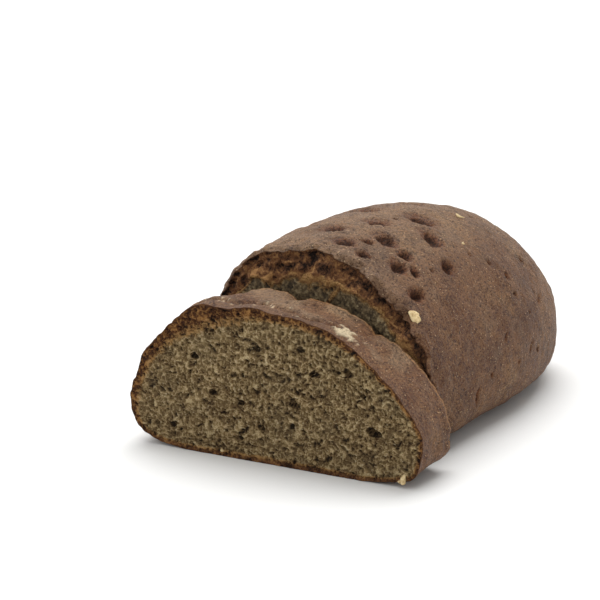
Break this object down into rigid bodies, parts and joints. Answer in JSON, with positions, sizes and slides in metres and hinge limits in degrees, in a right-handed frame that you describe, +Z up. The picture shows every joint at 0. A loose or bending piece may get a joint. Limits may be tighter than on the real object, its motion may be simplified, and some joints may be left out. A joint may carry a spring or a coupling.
{
  "type": "rye loaf",
  "caption": "Dark rye hearth loaf cut across: the uncut half with its pricked crown and rounded end, and one thick slice standing against its cut face.",
  "frame": {"origin": "on the table, under the middle of the bounding box of the loaf and its slice", "axes": "+Y from the cut face along the loaf to its rounded end, so the slice stands at -Y; +X to the right when looking at the cut face; +Z up"},
  "size_m": [0.117, 0.178, 0.0753],
  "materials": {
    "rye_crust": "satin",
    "rye_crumb": "matte"
  },
  "bodies": {
    "root": {"half_loaf": "rye_crust", "slice": "rye_crumb"}
  },
  "joints": []
}
